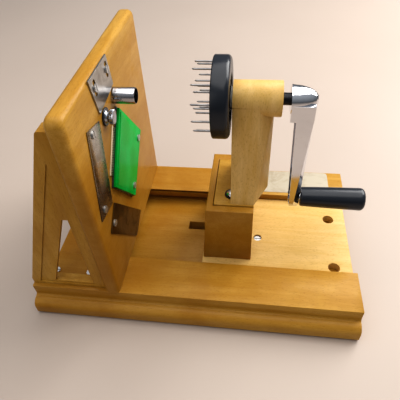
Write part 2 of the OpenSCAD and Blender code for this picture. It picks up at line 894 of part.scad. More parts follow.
module crank_arm() {
    arm_out = head_x0 + arm_x1_end;
    color("silver") difference() {
        union() {
            intersection() {
                along_x(head_x0, head_x0 + arm_far) arm_face(0);
                along_y(-arm_half_w, arm_half_w) arm_side();
            }
            crank_head();
        }
        difference() {
            intersection() {
                along_x(head_x0 - 5, head_x0 + arm_far) arm_face(arm_wall);
                along_y(-arm_half_w, arm_half_w) hollow_side();
            }
            translate([0, 0, axle_z]) bar_x(head_x0 + arm_x0_end, arm_out, axle_boss_r);
        }
        on_axis(head_x0 - 1, shaft_x1, shaft_r + screw_gap);
        on_axis(shaft_x1 - 1, head_x0 + arm_far, crank_screw_r + screw_gap);
        on_axis(head_x0 + head_seat, head_x0 + arm_far, crank_screw_head_r + 0.3);
        translate([0, 0, axle_z]) bar_x(head_x0, arm_out + 1, axle_r + screw_gap);
    }
}

module crank_screw() {
    x1 = head_x0 + head_seat;
    color("black") {
        on_axis(shaft_x1 - crank_screw_in, x1, crank_screw_r);
        on_axis(x1, x1 + crank_screw_head_h, crank_screw_head_r);
    }
}

module grip_axle() {
    x_in = head_x0 + arm_x0_end;
    x_out = head_x0 + arm_x1_end;
    color("silver") translate([0, 0, axle_z]) {
        bar_x(x_in, grip_x0 + axle_in, axle_r);
        bar_x(x_in - 1.5, x_in, axle_head_r);
        bar_x(x_out, grip_x0 - slide_gap, axle_head_r);
        bar_x(grip_x0 + axle_in, grip_x0 + axle_in + 2, axle_head_r - 0.5);
    }
}

module crank_grip() {
    big_r = grip_d / 2;
    bore_r = axle_r + running_gap;
    cap_x = grip_x0 + axle_in - slide_gap;
    color([0.05, 0.05, 0.06]) difference() {
        translate([0, 0, axle_z]) rotate([0, 90, 0]) rotate_extrude() difference() {
            union() {
                polygon([[0, grip_x0 + 1.5], [grip_small_r, grip_x0 + 1.5],
                    [big_r, grip_x1 - grip_round], [0, grip_x1 - grip_round]]);
                translate([0, grip_x0]) square([grip_small_r - 1.5, 2]);
                translate([grip_small_r - 1.5, grip_x0 + 1.5]) circle(1.5);
                translate([big_r - grip_round, grip_x1 - grip_round]) circle(grip_round);
                translate([0, grip_x1 - grip_round - eps]) square([big_r - grip_round, grip_round]);
            }
            translate([-50, grip_x0 - 50]) square([50, 200]);
        }
        translate([0, 0, axle_z]) {
            bar_x(grip_x0 - 1, cap_x + 1, bore_r);
            bar_x(cap_x, grip_x0 + axle_in + 2 + slide_gap, axle_head_r - 0.5 + running_gap);
        }
    }
}

// ---- what is drawn ----

base_floor();
near_rail();
far_rail();
rail_screws();
panel_screws();
maker_label();
blade_panel();
near_bracket_frame();
near_bracket_web();
far_bracket_frame();
far_bracket_web();
top_plate();
side_plate();
lower_plate();
plate_screws();
slicing_knife();
knife_guard();
guard_screws();
comb_holder();
comb_blades();
comb_knob();
comb_knob_foot();
coring_tube();
slide_board();
stop_key();
key_screw();
carriage_block();
post_plate();
spindle_post();
post_bolt();
post_bolt_washer();
spindle_bushes();
spindle_shaft();
pin_disc();
holding_pins();
disc_washer();
crank_arm();
crank_screw();
grip_axle();
crank_grip();
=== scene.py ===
"""Looks of a hand-cranked turning slicer in varnished beech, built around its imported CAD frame."""

import json
import math
from contextlib import contextmanager

import bmesh
import bpy
from mathutils import Matrix, Vector


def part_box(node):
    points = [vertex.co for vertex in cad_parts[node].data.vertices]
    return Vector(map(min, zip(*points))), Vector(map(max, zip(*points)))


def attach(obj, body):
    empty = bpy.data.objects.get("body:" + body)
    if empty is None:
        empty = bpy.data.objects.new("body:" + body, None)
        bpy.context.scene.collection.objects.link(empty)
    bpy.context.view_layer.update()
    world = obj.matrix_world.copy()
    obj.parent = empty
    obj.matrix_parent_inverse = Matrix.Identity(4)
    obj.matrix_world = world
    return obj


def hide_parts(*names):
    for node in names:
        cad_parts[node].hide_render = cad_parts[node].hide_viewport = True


bl_info = {
    "name": "Turning slicer looks",
    "version": (1, 0, 0),
    "blender": (4, 5, 0),
    "location": "View3D > Sidebar > Slicer",
    "description": "Finishes and shaped pieces of a wooden turning slicer",
    "category": "Object",
}

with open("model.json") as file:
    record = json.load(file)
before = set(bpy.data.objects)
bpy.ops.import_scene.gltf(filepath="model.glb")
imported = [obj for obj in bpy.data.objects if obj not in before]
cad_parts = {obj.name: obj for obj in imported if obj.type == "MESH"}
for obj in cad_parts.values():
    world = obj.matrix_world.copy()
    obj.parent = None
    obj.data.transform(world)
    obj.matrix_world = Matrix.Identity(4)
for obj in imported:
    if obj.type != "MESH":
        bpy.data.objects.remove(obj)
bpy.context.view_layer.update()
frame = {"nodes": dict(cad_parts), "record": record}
MM = 0.001
WELD = 0.01 * MM
FLAT = math.radians(0.4)
X, Y, Z = Vector((1, 0, 0)), Vector((0, 1, 0)), Vector((0, 0, 1))
BODY_OF = {node: body for body, nodes in frame["record"]["behaviour"]["bodies"].items()
           for node in nodes}


# ---- shader building ----


class Value:
    """A socket that carries a number, and adds Math nodes as it is calculated with."""

    def __init__(self, graph, socket):
        self.graph, self.socket = graph, socket

    def _math(self, operation, *others):
        return self.graph.node(
            "ShaderNodeMath", {"operation": operation}, [self, *others])

    def __add__(self, other):
        return self._math("ADD", other)

    def __radd__(self, other):
        return self.graph.node("ShaderNodeMath", {"operation": "ADD"}, [other, self])

    def __sub__(self, other):
        return self._math("SUBTRACT", other)

    def __rsub__(self, other):
        return self.graph.node("ShaderNodeMath", {"operation": "SUBTRACT"}, [other, self])

    def __mul__(self, other):
        return self._math("MULTIPLY", other)

    def max(self, other):
        return self._math("MAXIMUM", other)

    def min(self, other):
        return self._math("MINIMUM", other)

    def step(self, low, high):
        """0 below low, 1 above high, smooth between."""
        return self.graph.node(
            "ShaderNodeMapRange", {"interpolation_type": "SMOOTHSTEP"},
            {"Value": self, "From Min": low, "From Max": high}, "Result")


class Graph:
    """A material's node tree, with its shader's sockets set by name."""

    def __init__(self, name):
        self.material = bpy.data.materials.new(name)
        self.material.use_nodes = True
        self.tree = self.material.node_tree
        self.shader = next(n for n in self.tree.nodes if n.type == "BSDF_PRINCIPLED")
        self.place = self.node("ShaderNodeTexCoord", {}, {}, "Object")

    def node(self, kind, settings, inputs, output=0):
        made = self.tree.nodes.new(kind)
        for key, setting in settings.items():
            setattr(made, key, setting)
        pairs = inputs.items() if isinstance(inputs, dict) else enumerate(inputs)
        for key, value in pairs:
            self.plug(made.inputs[key], value)
        return Value(self, made.outputs[output])

    def plug(self, socket, value):
        if isinstance(value, Value):
            self.tree.links.new(value.socket, socket)
        elif isinstance(value, (tuple, list, Vector)) and len(value) == 3 and socket.type == "RGBA":
            socket.default_value = (*value, 1)
        else:
            socket.default_value = value

    def stretched(self, scale, turn=(0, 0, 0), shift=(0, 0, 0)):
        return self.node("ShaderNodeMapping", {}, {
            "Vector": self.place, "Scale": scale, "Rotation": turn, "Location": shift})

    def noise(self, place, scale, detail=3.0, roughness=0.5, distortion=0.0):
        return self.node("ShaderNodeTexNoise", {}, {
            "Vector": place, "Scale": scale, "Detail": detail, "Roughness": roughness,
            "Distortion": distortion}, "Fac")

    def cells(self, place, scale):
        return self.node("ShaderNodeTexVoronoi", {}, {"Vector": place, "Scale": scale}, "Distance")

    def axis(self, name):
        return self.node("ShaderNodeSeparateXYZ", {}, [self.place], name)

    def mix(self, factor, first, second):
        return self.node("ShaderNodeMix", {"data_type": "RGBA"}, {
            "Factor": factor, 6: first, 7: second}, 2)

    def bump(self, height, strength, distance):
        return self.node("ShaderNodeBump", {}, {
            "Height": height, "Strength": strength, "Distance": distance})

    def set(self, **sockets):
        for name, value in sockets.items():
            self.plug(self.shader.inputs[name.replace("_", " ")], value)
        return self.material


# ---- finishes ----

# painted shade on the wood: the axis, where the painted shade is darkest and where it ends; the
# rails and floor are painted darker towards the left and lightest at the brightly lit right end, the
# panel and the block darker towards their feet
BASE_PAINTED_SHADE = ("X", -0.12, 0.14)
PANEL_PAINTED_SHADE = ("Z", 0.14, 0.235)
BLOCK_PAINTED_SHADE = ("Z", 0.06, 0.118)
# the height below which the side plate is darker
SIDE_PLATE_DARK_LINE = 0.162
GRAIN = {"X": (1.0, 4.0, 4.0), "Y": (4.0, 1.0, 4.0), "Z": (4.0, 4.0, 1.0)}
BANDS = {"X": (0.5, 5.0, 5.0), "Y": (5.0, 0.5, 5.0), "Z": (5.0, 5.0, 0.5)}


def varnished_beech(name, grain, light, deep, stain=0.35, painted_shade=None):
    """Beech with its short dark flecks and soft bands under a gloss varnish that has yellowed; when
    an axis is given, shade is painted along it.
    """
    g = Graph(name)
    figure = g.noise(g.stretched(BANDS[grain]), 14.0, 5.0, 0.65, 0.4).step(0.2, 0.8)
    fibres = g.noise(g.stretched(BANDS[grain]), 170.0, 3.0, 0.65)
    flecks = 1 - g.cells(g.stretched(GRAIN[grain]), 190.0).step(0.1, 0.3)
    pores = 1 - g.cells(g.stretched(GRAIN[grain], shift=(0.31, 0.17, 0.23)), 520.0).step(0.1, 0.34)
    cloud = g.noise(g.place, 16.0, 4.0, 0.6, 0.3).step(0.38, 0.74)
    worn = g.noise(g.place, 45.0, 5.0, 0.7).step(0.5, 0.8)
    wood = g.mix(figure, deep, light)
    wood = g.mix(fibres.step(0.3, 0.75) * 0.28, wood, [c * 0.72 for c in deep])
    wood = g.mix(flecks * 0.42, wood, (deep[0] * 0.55, deep[1] * 0.46, deep[2] * 0.35))
    wood = g.mix(pores * 0.22, wood, (deep[0] * 0.6, deep[1] * 0.5, deep[2] * 0.4))
    wood = g.mix(cloud * stain, wood, (deep[0] * 0.8, deep[1] * 0.68, deep[2] * 0.45))
    # painted shade: the wood is darkened towards one end of the axis, standing in for the shade and
    # dimmer light there
    if painted_shade:
        axis, deepest, palest = painted_shade
        shaded = 1 - g.axis(axis).step(deepest, palest)
        brown = (deep[0] * 0.75, deep[1] * 0.62, deep[2] * 0.3)
        wood = g.mix(shaded * (0.42 + cloud * 0.3), wood, brown)
    surface = fibres * 0.35 + flecks * 0.3 + worn * 0.35
    return g.set(
        Base_Color=wood, Roughness=0.4 + worn * 0.16 + fibres * 0.08, IOR=1.28,
        Coat_Weight=0.34 - worn * 0.2, Coat_Roughness=0.16, Coat_IOR=1.32,
        Normal=g.bump(surface, 0.35, 0.00018))


def stained_steel(name, steel, stain, amount, rough=0.24, dark_below=0.0):
    """Rolled sheet with fine rubbing marks, water stains and a few scratches, darker towards the
    stain tone below dark_below.
    """
    g = Graph(name)
    rubbed = g.noise(g.stretched((40, 6, 120), (0.5, 0, 0)), 22.0, 3.0, 0.7)
    spots = g.noise(g.place, 60.0, 5.0, 0.65, 0.8).step(0.46, 0.72)
    runs = g.noise(g.stretched((1, 1.4, 0.35)), 48.0, 3.0, 0.5, 0.4).step(0.45, 0.7)
    pits = 1 - g.cells(g.place, 420.0).step(0.12, 0.3)
    # below dark_below the sheet is mixed towards the stain tone: darker towards the bottom
    low = 1 - g.axis("Z").step(dark_below - 0.02, dark_below + 0.012)
    stained = ((spots * 0.6 + runs * 0.6) * amount).max(low * 0.86)
    color = g.mix(rubbed.step(0.3, 0.7) * 0.35, steel, [c * 0.7 for c in steel])
    color = g.mix(stained.min(1.0), color, stain)
    color = g.mix(pits * spots * 0.5, color, [c * 0.35 for c in stain])
    return g.set(
        Base_Color=color, Metallic=1 - stained * 0.35,
        Roughness=rough + spots * 0.16 + rubbed * 0.12,
        Normal=g.bump(rubbed * 0.5 + pits * spots, 0.25, 0.00008))


def chrome_plate(name, tint, haze=0.0):
    """Bright plate with finger marks, fine wiping scratches and small pits."""
    g = Graph(name)
    marks = g.noise(g.place, 55.0, 4.0, 0.6, 0.5).step(0.45, 0.8)
    wiped = g.noise(g.stretched((30, 30, 2.5)), 30.0, 3.0, 0.7)
    pits = 1 - g.cells(g.place, 330.0).step(0.06, 0.16)
    dull = pits * g.noise(g.place, 30.0, 2.0, 0.5).step(0.5, 0.62)
    color = g.mix(marks * 0.25, tint, [c * 0.78 for c in tint])
    color = g.mix(dull * 0.8, color, (0.09, 0.07, 0.06))
    return g.set(
        Base_Color=color, Metallic=1 - dull * 0.4,
        Roughness=0.07 + haze + marks * 0.09 + wiped * 0.05 + dull * 0.3,
        Normal=g.bump(wiped * 0.2 - dull, 0.12, 0.00006))


def moulded_plastic(name, color, other, rough, grain=0.0001, ior=1.3):
    """Moulded plastic with flow tone, faint scuffs and a soft orange-peel skin."""
    g = Graph(name)
    flow = g.noise(g.stretched((0.6, 1, 1)), 24.0, 3.0, 0.5, 0.6).step(0.35, 0.7)
    skin = g.noise(g.place, 900.0, 2.0, 0.5)
    scuffs = g.noise(g.stretched((4, 60, 60)), 16.0, 4.0, 0.75).step(0.56, 0.78)
    dust = 1 - g.cells(g.place, 700.0).step(0.05, 0.16)
    tone = g.mix(flow, color, other)
    tone = g.mix(scuffs * 0.1 + dust * 0.06, tone, [min(1.0, c * 1.5 + 0.03) for c in other])
    return g.set(
        Base_Color=tone, Roughness=rough + scuffs * 0.14 + flow * 0.05, IOR=ior,
        Normal=g.bump(skin * 0.6 + scuffs * 0.4, 0.2, grain))


def turned_metal(name, color, rough=0.3, metal=1.0):
    """Small turned or rolled metal: fine rings, tarnish in patches."""
    g = Graph(name)
    rings = g.noise(g.stretched((260, 12, 12)), 12.0, 2.0, 0.6)
    tarnish = g.noise(g.place, 150.0, 4.0, 0.6).step(0.42, 0.72)
    tone = g.mix(tarnish * 0.55, color, [c * 0.45 for c in color])
    return g.set(
        Base_Color=tone, Metallic=metal - tarnish * 0.15 * metal,
        Roughness=rough + tarnish * 0.18 + rings * 0.08, Normal=g.bump(rings, 0.2, 0.00005))


def worn_paper(name, paper, soil):
    """A blank sticker: pressed fibres, soiled and rubbed patches."""
    g = Graph(name)
    fibres = g.noise(g.stretched((3, 1, 1)), 800.0, 3.0, 0.7)
    soiled = g.noise(g.place, 40.0, 5.0, 0.65, 0.7).step(0.46, 0.74)
    rubbed = g.noise(g.stretched((1, 5, 1)), 60.0, 4.0, 0.7).step(0.55, 0.75)
    tone = g.mix(soiled * 0.5, paper, soil)
    tone = g.mix(rubbed * 0.3, tone, [c * 0.7 for c in soil])
    return g.set(
        Base_Color=tone, Roughness=0.4 + fibres * 0.1 + soiled * 0.2,
        Coat_Weight=0.25 - rubbed * 0.2, Coat_Roughness=0.2, Normal=g.bump(fibres, 0.25, 0.00005))


# ---- shaping ----


def only(piece):
    if bpy.context.mode != "OBJECT":
        bpy.ops.object.mode_set(mode="OBJECT")
    bpy.ops.object.select_all(action="DESELECT")
    piece.select_set(True)
    bpy.context.view_layer.objects.active = piece


@contextmanager
def editing(piece):
    """Edit mode on one piece, with everything in it selected."""
    only(piece)
    bpy.ops.object.mode_set(mode="EDIT")
    bpy.ops.mesh.select_all(action="SELECT")
    yield
    bpy.ops.object.mode_set(mode="OBJECT")


def pick(piece, kind, wanted):
    """In edit mode, selects the faces, edges or points that wanted accepts, and no others."""
    bpy.ops.mesh.select_mode(type=kind)
    bpy.ops.mesh.select_all(action="DESELECT")
    shape = bmesh.from_edit_mesh(piece.data)
    parts = {"FACE": shape.faces, "EDGE": shape.edges, "VERT": shape.verts}[kind]
    found = 0
    for part in parts:
        if wanted(part):
            part.select_set(True)
            found += 1
    shape.select_flush_mode()
    bmesh.update_edit_mesh(piece.data)
    return found


def middle(part):
    return sum((v.co for v in part.verts), Vector()) / len(part.verts)


def sharp(edge, degrees=28):
    return len(edge.link_faces) == 2 and edge.calc_face_angle() > math.radians(degrees)


def along(edge, axis):
    run = edge.verts[1].co - edge.verts[0].co
    return abs(run.normalized().dot(axis)) > 0.98


def axis_of(low, high):
    """Y and Z of the line along X through the middle of a box."""
    return ((low.y + high.y) / 2, (low.z + high.z) / 2)


def merged_copy(node, name):
    """A copy of a CAD node, welded, with its flat faces joined."""
    piece = bpy.data.objects.new(name, frame["nodes"][node].data.copy())
    bpy.context.scene.collection.objects.link(piece)
    with editing(piece):
        bpy.ops.mesh.customdata_custom_splitnormals_clear()
        bpy.ops.mesh.remove_doubles(threshold=WELD)
        bpy.ops.mesh.dissolve_limited(angle_limit=FLAT)
    return piece


def round_edges(piece, width, wanted, segments=3):
    with editing(piece):
        if pick(piece, "EDGE", wanted):
            bpy.ops.mesh.bevel(
                offset=width, segments=segments, affect="EDGES", clamp_overlap=True)


def smooth(piece, degrees=32):
    only(piece)
    bpy.ops.object.shade_smooth_by_angle(angle=math.radians(degrees))


def turned(name, centre, outline, segments=72):
    """A solid turned along X about centre. The outline is a list of places along X and radii."""
    bpy.ops.object.select_all(action="DESELECT")
    start, radius = outline[0]
    bpy.ops.mesh.primitive_circle_add(
        vertices=segments, radius=radius, fill_type="NGON",
        location=Vector((start, centre[0], centre[1])), rotation=(0, math.pi / 2, 0))
    piece = bpy.context.active_object
    piece.name = name
    with editing(piece):
        for (x0, r0), (x1, r1) in zip(outline, outline[1:]):
            bpy.ops.mesh.extrude_region_move(
                TRANSFORM_OT_translate={"value": (x1 - x0, 0, 0)})
            bpy.ops.transform.resize(
                value=(1, r1 / r0, r1 / r0), center_override=(x1, centre[0], centre[1]))
        bpy.ops.mesh.select_all(action="SELECT")
        bpy.ops.mesh.normals_make_consistent(inside=False)
    settle(piece)
    return piece


def box_piece(name, low, high):
    """A box between two corners, to be shaped further."""
    bpy.ops.object.select_all(action="DESELECT")
    bpy.ops.mesh.primitive_cube_add(size=1, location=(low + high) / 2)
    piece = bpy.context.active_object
    piece.name = name
    piece.scale = high - low
    settle(piece)
    return piece


def settle(piece):
    """Puts a piece's place into its mesh."""
    only(piece)
    bpy.ops.object.transform_apply(location=True, rotation=True, scale=True)


def cut(piece, cutter):
    """Takes the cutter's shape out of the piece."""
    only(piece)
    carve = piece.modifiers.new("cut", "BOOLEAN")
    carve.operation = "DIFFERENCE"
    carve.solver = "EXACT"
    carve.object = cutter
    bpy.ops.object.modifier_apply(modifier=carve.name)
    bpy.data.objects.remove(cutter)


def arc(centre, radius, start, end, steps=6):
    """Places and radii round a quarter of an edge, from one angle to another."""
    turns = [math.radians(start + (end - start) * i / steps) for i in range(steps + 1)]
    return [(centre[0] + radius * math.cos(a), centre[1] + radius * math.sin(a)) for a in turns]


def stand_for(piece, node, material):
    """The piece is shown in place of a CAD node, on the same body."""
    piece.data.materials.clear()
    piece.data.materials.append(material)
    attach(piece, BODY_OF[node])
    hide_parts(node)


def finish_node(node, material):
    """Gives a CAD node its material."""
    holder = frame["nodes"][node]
    holder.data.materials.clear()
    holder.data.materials.append(material)


def softened(node, width, wanted, material, segments=3):
    """A welded copy of a CAD node with softened edges, shown in its place."""
    piece = merged_copy(node, "soft_" + node)
    round_edges(piece, width, wanted, segments)
    smooth(piece)
    stand_for(piece, node, material)


# ---- the object's own sizes and finishes ----


def length(name, text, size):
    return bpy.props.FloatProperty(
        name=name, description=text, default=size * MM, min=0, unit="LENGTH")


def color(name, text, rgb):
    return bpy.props.FloatVectorProperty(
        name=name, description=text, default=rgb, size=3, min=0, max=1, subtype="COLOR")


class SlicerWood(bpy.types.PropertyGroup):
    honey: color("Honey beech", "Lit tone of the varnished beech", (0.55, 0.335, 0.08))
    amber: color("Amber beech", "Deep tone of the varnished beech", (0.4, 0.21, 0.024))
    straw: color("Straw beech", "Lit tone of the paler boards", (0.74, 0.53, 0.24))
    toffee: color("Toffee beech", "Deep tone of the paler boards", (0.6, 0.385, 0.11))
    panel_corner: length("Panel corner", "Radius of the panel's two top corners", 8)
    panel_edge: length("Panel edge", "Rounding of the panel's faces into its sides", 5)
    rail_edge: length("Rail edge", "Rounding along the rails", 1.1)
    board_edge: length("Board edge", "Rounding of the slide board and the block", 0.8)
    post_edge: length("Post edge", "Rounding of the post's long edges", 1.6)


class SlicerMetal(bpy.types.PropertyGroup):
    sheet: color("Steel sheet", "Tone of the stainless plates", (0.46, 0.45, 0.43))
    stain: color("Water stain", "Tone of the stains on the plates", (0.1, 0.055, 0.02))
    tool_steel: color("Tool steel", "Tone of the knife and comb teeth", (0.16, 0.15, 0.16))
    chrome: color("Chrome", "Tone of the plated crank arm", (0.74, 0.74, 0.76))
    screw: color("Screws", "Tone of the small screws", (0.42, 0.41, 0.42))
    sheet_edge: length("Sheet edge", "Rounding of the plates' edges", 0.25)
    arm_edge: length("Arm edge", "Rounding of the crank arm's edges", 1.5)


class SlicerPlastic(bpy.types.PropertyGroup):
    green: color("Guard green", "Main tone of the knife guard", (0.004, 0.36, 0.04))
    mint: color("Guard light", "Second tone of the knife guard", (0.01, 0.46, 0.09))
    ink: color("Disc and grip", "Main tone of the black plastic", (0.002, 0.003, 0.005))
    slate: color("Disc and grip, worn", "Second tone of the black plastic", (0.004, 0.006, 0.009))
    disc_edge: length("Disc edge", "Rounding of the pin disc's back edge", 4)
    grip_end: length("Grip end", "Rounding of the grip's outer end", 4.5)


def wood():
    return bpy.context.scene.slicer_wood


def metal():
    return bpy.context.scene.slicer_metal


def plastic():
    return bpy.context.scene.slicer_plastic


def beech(grain, pale=False, painted_shade=None):
    """The beech finish for one grain direction, made once. The last argument gives an axis and its
    two ends for a painted shade, darkest at the first end.
    """
    name = ("pale_beech_" if pale else "honey_beech_") + grain.lower()
    if painted_shade:
        name += "_aged"
    if name in bpy.data.materials:
        return bpy.data.materials[name]
    w = wood()
    light, deep = (w.straw, w.toffee) if pale else (w.honey, w.amber)
    return varnished_beech(name, grain, tuple(light), tuple(deep), 0.2 if pale else 0.4, painted_shade)


def finish(name, make, *values):
    """A material made once under its name."""
    return bpy.data.materials.get(name) or make(name, *values)


def screw_metal():
    return finish("screw_steel", turned_metal, tuple(metal().screw), 0.28)


# ---- one operator for each piece or group ----


class Making:
    bl_options = {"REGISTER", "UNDO"}


class SLICER_OT_rails(Making, bpy.types.Operator):
    """Moulded rails and the floor between them"""

    bl_idname = "slicer.rails"
    bl_label = "Rails and floor"

    def execute(self, context):
        width = wood().rail_edge
        for node in ("near_rail", "far_rail"):
            softened(node, width, lambda e: sharp(e, 50) and along(e, X) and e.calc_length() > 0.1
                     and middle(e).z > 10 * MM, beech("X", painted_shade=BASE_PAINTED_SHADE))
        softened("base_floor", 0.5 * MM, lambda e: sharp(e, 50) and e.calc_length() > 0.01,
                 beech("X", painted_shade=BASE_PAINTED_SHADE))
        return {"FINISHED"}


class SLICER_OT_panel(Making, bpy.types.Operator):
    """Upright blade panel with rounded corners, its throat and its bore for the coring tube"""

    bl_idname = "slicer.panel"
    bl_label = "Blade panel"

    def execute(self, context):
        low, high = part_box("blade_panel")
        panel = box_piece("rounded_blade_panel", low, high)
        round_edges(panel, wood().panel_corner,
                    lambda e: along(e, X) and middle(e).z > high.z - MM, 8)
        round_edges(panel, wood().panel_edge,
                    lambda e: sharp(e, 60) and middle(e).z > low.z + MM, 6)
        self.open_bore(panel, low, high)
        self.open_throat(panel, low, high)
        smooth(panel, 40)
        stand_for(panel, "blade_panel", beech("Y", painted_shade=PANEL_PAINTED_SHADE))
        return {"FINISHED"}

    def open_bore(self, panel, low, high):
        tube_low, tube_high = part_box("coring_tube")
        bpy.ops.object.select_all(action="DESELECT")
        bpy.ops.mesh.primitive_cylinder_add(
            vertices=64, radius=(tube_high.y - tube_low.y) / 2, depth=0.06,
            location=((low.x + high.x) / 2, *axis_of(tube_low, tube_high)),
            rotation=(0, math.pi / 2, 0))
        cut(panel, bpy.context.active_object)

    def open_throat(self, panel, low, high):
        comb_low, comb_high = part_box("comb_blades")
        turn, width, reach, chute, deep = math.radians(46.9), 4 * MM, 42 * MM, 24 * MM, 9 * MM
        centre = (comb_low + comb_high) / 2
        outwards = Vector((0, -math.sin(turn), math.cos(turn)))
        back = centre + outwards * (chute - width) / 2
        for place, span, x0, x1 in ((centre, width, low.x - MM, high.x + MM),
                                    (back, chute, low.x - MM, low.x + deep)):
            bpy.ops.object.select_all(action="DESELECT")
            bpy.ops.mesh.primitive_cube_add(
                size=1, location=((x0 + x1) / 2, place.y, place.z), rotation=(turn, 0, 0))
            cutter = bpy.context.active_object
            cutter.scale = (x1 - x0, reach, span)
            cut(panel, cutter)


class SLICER_OT_brackets(Making, bpy.types.Operator):
    """Framed brackets behind the panel with their thin webs"""

    bl_idname = "slicer.brackets"
    bl_label = "Brackets"

    def execute(self, context):
        for side in ("near", "far"):
            softened(side + "_bracket_frame", 0.8 * MM,
                     lambda e: sharp(e, 40) and e.calc_length() > 4 * MM, beech("Z"))
            softened(side + "_bracket_web", 0.3 * MM,
                     lambda e: sharp(e, 40) and e.calc_length() > 3 * MM, beech("Z"))
        return {"FINISHED"}


class SLICER_OT_plates(Making, bpy.types.Operator):
    """Stainless plates on the panel and their screws"""

    bl_idname = "slicer.plates"
    bl_label = "Plates"

    def execute(self, context):
        m = metal()
        bright = finish("stained_sheet", stained_steel, tuple(m.sheet), tuple(m.stain), 0.45)
        dull = finish("tarnished_sheet", stained_steel, (0.2, 0.13, 0.05), (0.06, 0.03, 0.01),
                      0.9, 0.34)
        side = finish("half_darkened_sheet", stained_steel, tuple(m.sheet), tuple(m.stain), 0.5, 0.2,
                      SIDE_PLATE_DARK_LINE)
        for node, material in (("top_plate", bright), ("side_plate", side),
                               ("lower_plate", dull)):
            softened(node, m.sheet_edge, lambda e: sharp(e, 50) and e.calc_length() > 2 * MM,
                     material, 2)
        for node in ("plate_screws", "guard_screws", "rail_screws", "panel_screws", "key_screw"):
            finish_node(node, screw_metal())
        return {"FINISHED"}


class SLICER_OT_knife(Making, bpy.types.Operator):
    """Knife, its green guard and the comb beside the cutting edge"""

    bl_idname = "slicer.knife"
    bl_label = "Knife, guard and comb"

    def execute(self, context):
        m, p = metal(), plastic()
        steel = finish("tool_steel", stained_steel, tuple(m.tool_steel), (0.07, 0.045, 0.03), 0.5)
        softened("slicing_knife", 0.2 * MM, lambda e: sharp(e, 50) and e.calc_length() > 2 * MM,
                 steel, 2)
        softened("knife_guard", 0.6 * MM, lambda e: sharp(e, 50) and e.calc_length() > 2 * MM,
                 finish("guard_green", moulded_plastic, tuple(p.green), tuple(p.mint), 0.22,
                        0.00006, 1.15))
        finish_node("comb_blades", finish("comb_teeth", turned_metal, (0.62, 0.6, 0.57), 0.3))
        softened("comb_holder", 0.2 * MM, lambda e: sharp(e, 50) and e.calc_length() > 0.5 * MM,
                 finish("cream_plastic", moulded_plastic, (0.8, 0.72, 0.52), (0.7, 0.58, 0.36),
                        0.42), 2)
        return {"FINISHED"}


class SLICER_OT_comb_knob(Making, bpy.types.Operator):
    """Knurled thumb knob of the comb clamp, on its black foot"""

    bl_idname = "slicer.comb_knob"
    bl_label = "Comb knob"

    def execute(self, context):
        foot_low, foot_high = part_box("comb_knob_foot")
        low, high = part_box("comb_knob")
        centre = axis_of(low, high)
        rim, start, end = (high.y - low.y) / 2, foot_high.x, high.x
        waist = rim * 0.74
        knob = turned("knurled_comb_knob", centre, [
            (start - 5 * MM, 1.7 * MM), (start - 0.01 * MM, 1.7 * MM), (start, rim * 0.9),
            (start + 0.6 * MM, rim * 0.8), (start + 1.4 * MM, waist), (start + 2.4 * MM, waist),
            (start + 3.2 * MM, rim * 0.86), (start + 3.8 * MM, rim), (end - 0.7 * MM, rim),
            (end - 0.2 * MM, rim * 0.92), (end, rim * 0.8), (end - 0.4 * MM, rim * 0.68),
            (end - 0.4 * MM, rim * 0.1)], 96)
        with editing(knob):
            pick(knob, "VERT",
                 lambda v: v.co.x > start + 3.6 * MM and self.is_groove(v, centre, rim))
            bpy.ops.transform.resize(value=(1, 0.955, 0.955), center_override=(end, *centre))
        smooth(knob, 28)
        stand_for(knob, "comb_knob", finish(
            "steel_knob", chrome_plate, (0.4, 0.42, 0.46), 0.1))
        foot_x, reach = foot_low.x, (foot_high.y - foot_low.y) / 2
        foot = turned("rounded_knob_foot", centre, [
            (foot_x, reach * 0.96), (foot_x + 0.3 * MM, reach), (foot_high.x - 0.4 * MM, reach),
            (foot_high.x, reach * 0.93), (foot_high.x, reach * 0.3)])
        smooth(foot)
        stand_for(foot, "comb_knob_foot", black_plastic())
        return {"FINISHED"}

    def is_groove(self, point, centre, rim):
        across, up = point.co.y - centre[0], point.co.z - centre[1]
        place = math.degrees(math.atan2(up, across)) % 360 / 360 * 96
        return math.hypot(across, up) > rim * 0.85 and round(place) % 2 == 0


def black_plastic():
    p = plastic()
    return finish("black_plastic", moulded_plastic, tuple(p.ink), tuple(p.slate), 0.09, 0.00003,
                  1.18)


class SLICER_OT_coring_tube(Making, bpy.types.Operator):
    """Thin-walled coring tube with a sharpened front rim"""

    bl_idname = "slicer.coring_tube"
    bl_label = "Coring tube"

    def execute(self, context):
        low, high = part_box("coring_tube")
        radius, wall = (high.y - low.y) / 2, 0.8 * MM
        centre = axis_of(low, high)
        tube = turned("ground_coring_tube", centre, [
            (low.x, radius - 0.2 * MM), (low.x + 0.2 * MM, radius), (high.x - 1.4 * MM, radius),
            (high.x, radius - wall * 0.7), (high.x, radius - wall)])
        with editing(tube):
            pick(tube, "FACE", lambda f: abs(f.normal.x) > 0.99 and len(f.verts) > 8)
            bpy.ops.mesh.delete(type="FACE")
            pick(tube, "EDGE", lambda e: e.is_boundary and middle(e).x > high.x - MM)
            bpy.ops.mesh.extrude_region_move(
                TRANSFORM_OT_translate={"value": (low.x - high.x, 0, 0)})
            pick(tube, "EDGE", lambda e: e.is_boundary)
            bpy.ops.mesh.bridge_edge_loops()
            bpy.ops.mesh.select_all(action="SELECT")
            bpy.ops.mesh.normals_make_consistent(inside=False)
        smooth(tube, 25)
        stand_for(tube, "coring_tube", finish(
            "steel_tube", chrome_plate, (0.5, 0.49, 0.5), 0.06))
        return {"FINISHED"}


